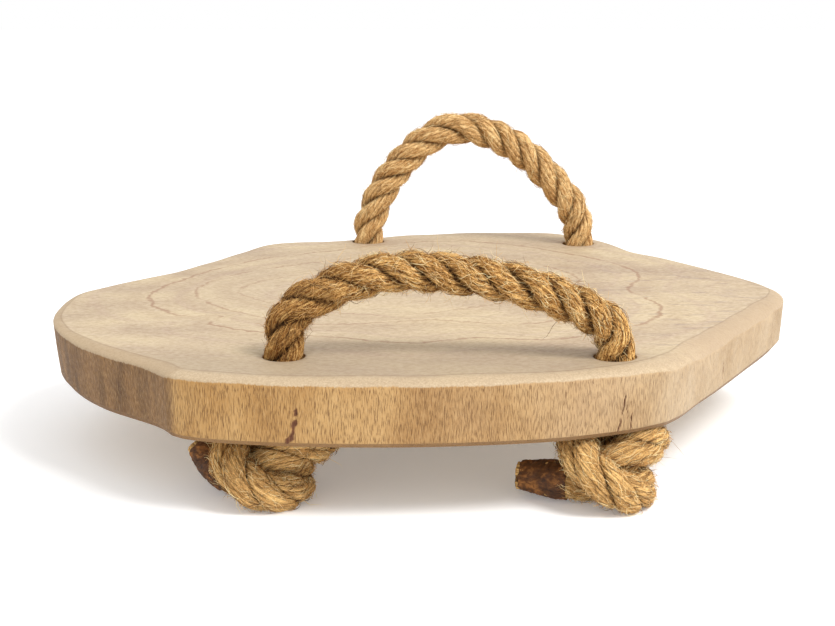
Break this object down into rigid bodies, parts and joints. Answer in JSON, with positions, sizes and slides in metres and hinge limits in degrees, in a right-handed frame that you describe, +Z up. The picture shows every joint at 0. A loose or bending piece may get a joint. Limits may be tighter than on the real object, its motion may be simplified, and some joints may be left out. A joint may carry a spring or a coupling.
{
  "type": "rope-handled wooden serving tray",
  "caption": "Round-edged slab of wood with two arched rope handles through drilled holes, standing on the knots under it.",
  "frame": {"origin": "centre of the object's footprint, on the surface it stands on", "axes": "+X to the right and +Y to the rear, seen from the side with the lower handle; +Z up"},
  "size_m": [0.5009, 0.5279, 0.1922],
  "materials": {
    "wood": "sanded, unfinished",
    "rope": "hairy natural jute",
    "tape": "satin"
  },
  "bodies": {
    "slab": {"slab": "wood"},
    "front_rope": {"front_left_rope_leg": "rope", "front_right_rope_leg": "rope", "front_left_knot": "rope", "front_right_knot": "rope", "front_left_tape": "tape", "front_right_tape": "tape"},
    "front_handle": {"front_handle": "rope"},
    "rear_rope": {"rear_left_rope_leg": "rope", "rear_right_rope_leg": "rope", "rear_left_knot": "rope", "rear_right_knot": "rope", "rear_left_tape": "tape", "rear_right_tape": "tape"},
    "rear_handle": {"rear_handle": "rope"}
  },
  "joints": [
    {"name": "front_rope_slip", "type": "slide", "parent": "slab", "child": "front_rope", "axis": [0, 0, 1], "range_m": [-0.005, 0]},
    {"name": "front_handle_lean", "type": "hinge", "parent": "front_rope", "child": "front_handle", "pos_m": [-0.087, -0.201, 0.09755], "axis": [0.9999, -0.0101, 0], "range_deg": [-55, 55]},
    {"name": "rear_rope_slip", "type": "slide", "parent": "slab", "child": "rear_rope", "axis": [0, 0, 1], "range_m": [-0.005, 0]},
    {"name": "rear_handle_lean", "type": "hinge", "parent": "rear_rope", "child": "rear_handle", "pos_m": [-0.048, 0.208, 0.09755], "axis": [0.9984, -0.0574, 0], "range_deg": [-55, 55]}
  ]
}
